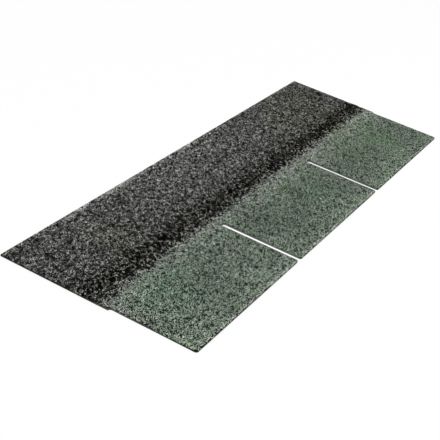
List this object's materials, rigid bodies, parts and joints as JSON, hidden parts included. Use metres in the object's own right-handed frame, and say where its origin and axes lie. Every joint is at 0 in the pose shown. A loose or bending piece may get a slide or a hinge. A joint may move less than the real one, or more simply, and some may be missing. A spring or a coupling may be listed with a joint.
{
  "type": "three-tab asphalt shingle strip",
  "caption": "Flat roofing shingle strip with slotted tabs, a plain headlap, a row of sealant dashes across its granule face and a release film on its back.",
  "frame": {"origin": "middle of the underside, on the surface that the strip lies on", "axes": "+X along the strip, +Y from the butt edge of the tabs to the top edge of the headlap, +Z out of the granule face"},
  "size_m": [1, 0.337, 0.0038],
  "materials": {
    "granule_sheet": "matte",
    "sealant": "satin",
    "release_film": "gloss"
  },
  "bodies": {
    "root": {"shingle_sheet": "granule_sheet", "seal_dash_1": "sealant", "seal_dash_2": "sealant", "seal_dash_3": "sealant", "seal_dash_4": "sealant", "seal_dash_5": "sealant", "seal_dash_6": "sealant", "seal_dash_7": "sealant", "seal_dash_8": "sealant", "seal_dash_9": "sealant", "release_film": "release_film"}
  },
  "joints": []
}
